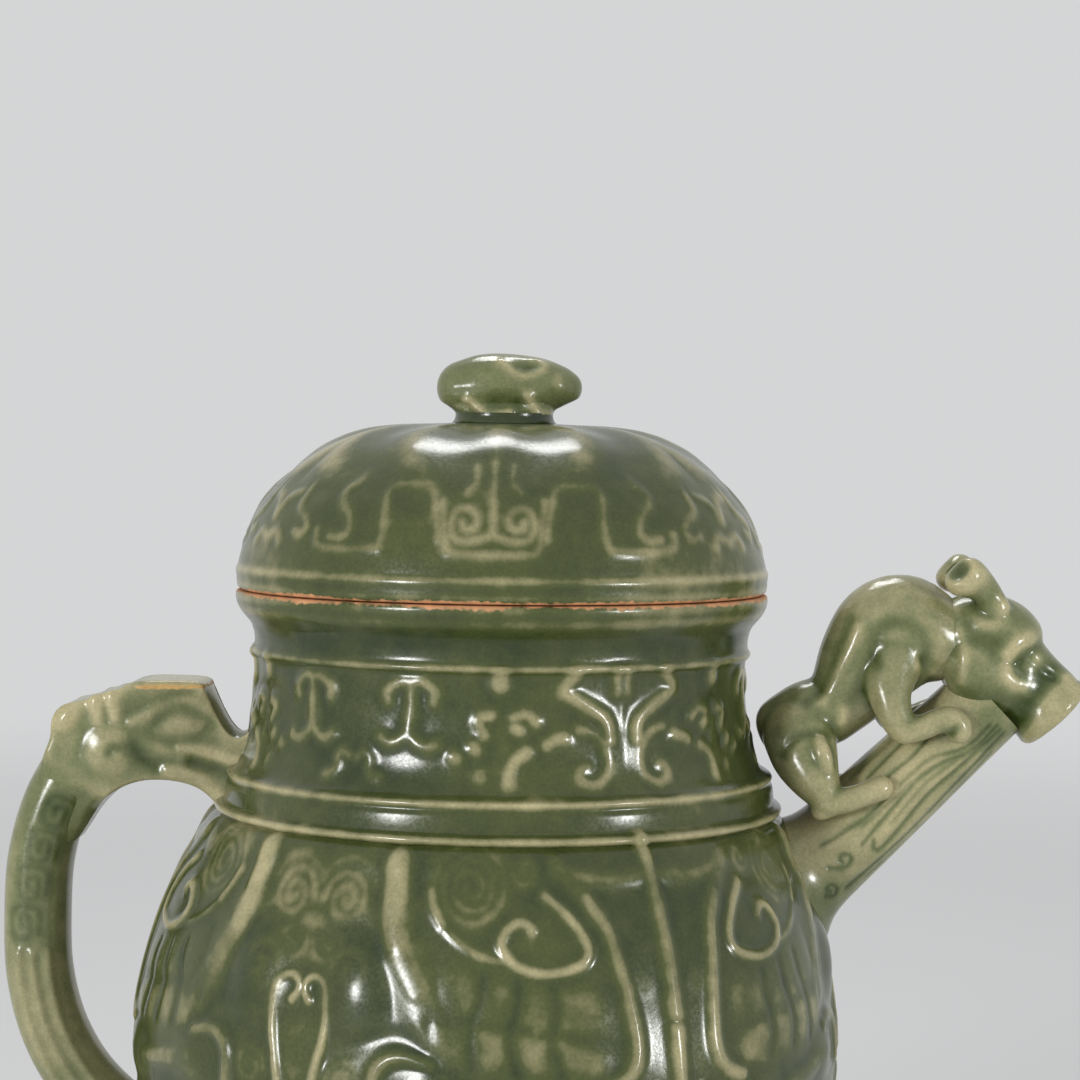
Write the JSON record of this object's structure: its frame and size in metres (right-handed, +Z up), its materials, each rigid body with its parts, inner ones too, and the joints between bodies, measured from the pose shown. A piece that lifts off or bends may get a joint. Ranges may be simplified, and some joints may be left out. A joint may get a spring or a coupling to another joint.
{
  "type": "lidded ewer",
  "caption": "Lidded pouring ewer with a lobed belly on three legs, a flared neck, a spout clasped by a beast and a loop handle with a dragon's head.",
  "frame": {"origin": "middle of the ewer's bounding box, on the table under the legs", "axes": "+X towards the spout, +Z up, +Y to the far side when the spout is on the right"},
  "size_m": [0.2372, 0.1538, 0.2308],
  "materials": {
    "olive_glaze": "gloss",
    "pale_glaze": "gloss",
    "bare_clay": "matt"
  },
  "bodies": {
    "ewer": {"belly_upper": "olive_glaze", "belly_lower": "olive_glaze", "neck": "olive_glaze", "leg_handle_side": "olive_glaze", "leg_front": "olive_glaze", "leg_back": "olive_glaze", "handle_loop": "pale_glaze", "dragon_head": "pale_glaze", "dragon_curl_front": "pale_glaze", "dragon_curl_back": "pale_glaze", "spout": "pale_glaze", "beast_torso": "pale_glaze", "beast_head": "pale_glaze", "beast_ear_front": "pale_glaze", "beast_ear_back": "pale_glaze", "beast_foreleg_front": "pale_glaze", "beast_foreleg_back": "pale_glaze", "beast_hindleg_front": "pale_glaze", "beast_hindleg_back": "pale_glaze"},
    "lid": {"lid_dome": "olive_glaze", "lid_flange": "bare_clay", "knob_plinth": "pale_glaze", "knob_beast": "pale_glaze"}
  },
  "joints": [
    {"name": "lid_lift", "type": "slide", "parent": "ewer", "child": "lid", "axis": [0, 0, 1], "range_m": [0, 0.06]}
  ]
}
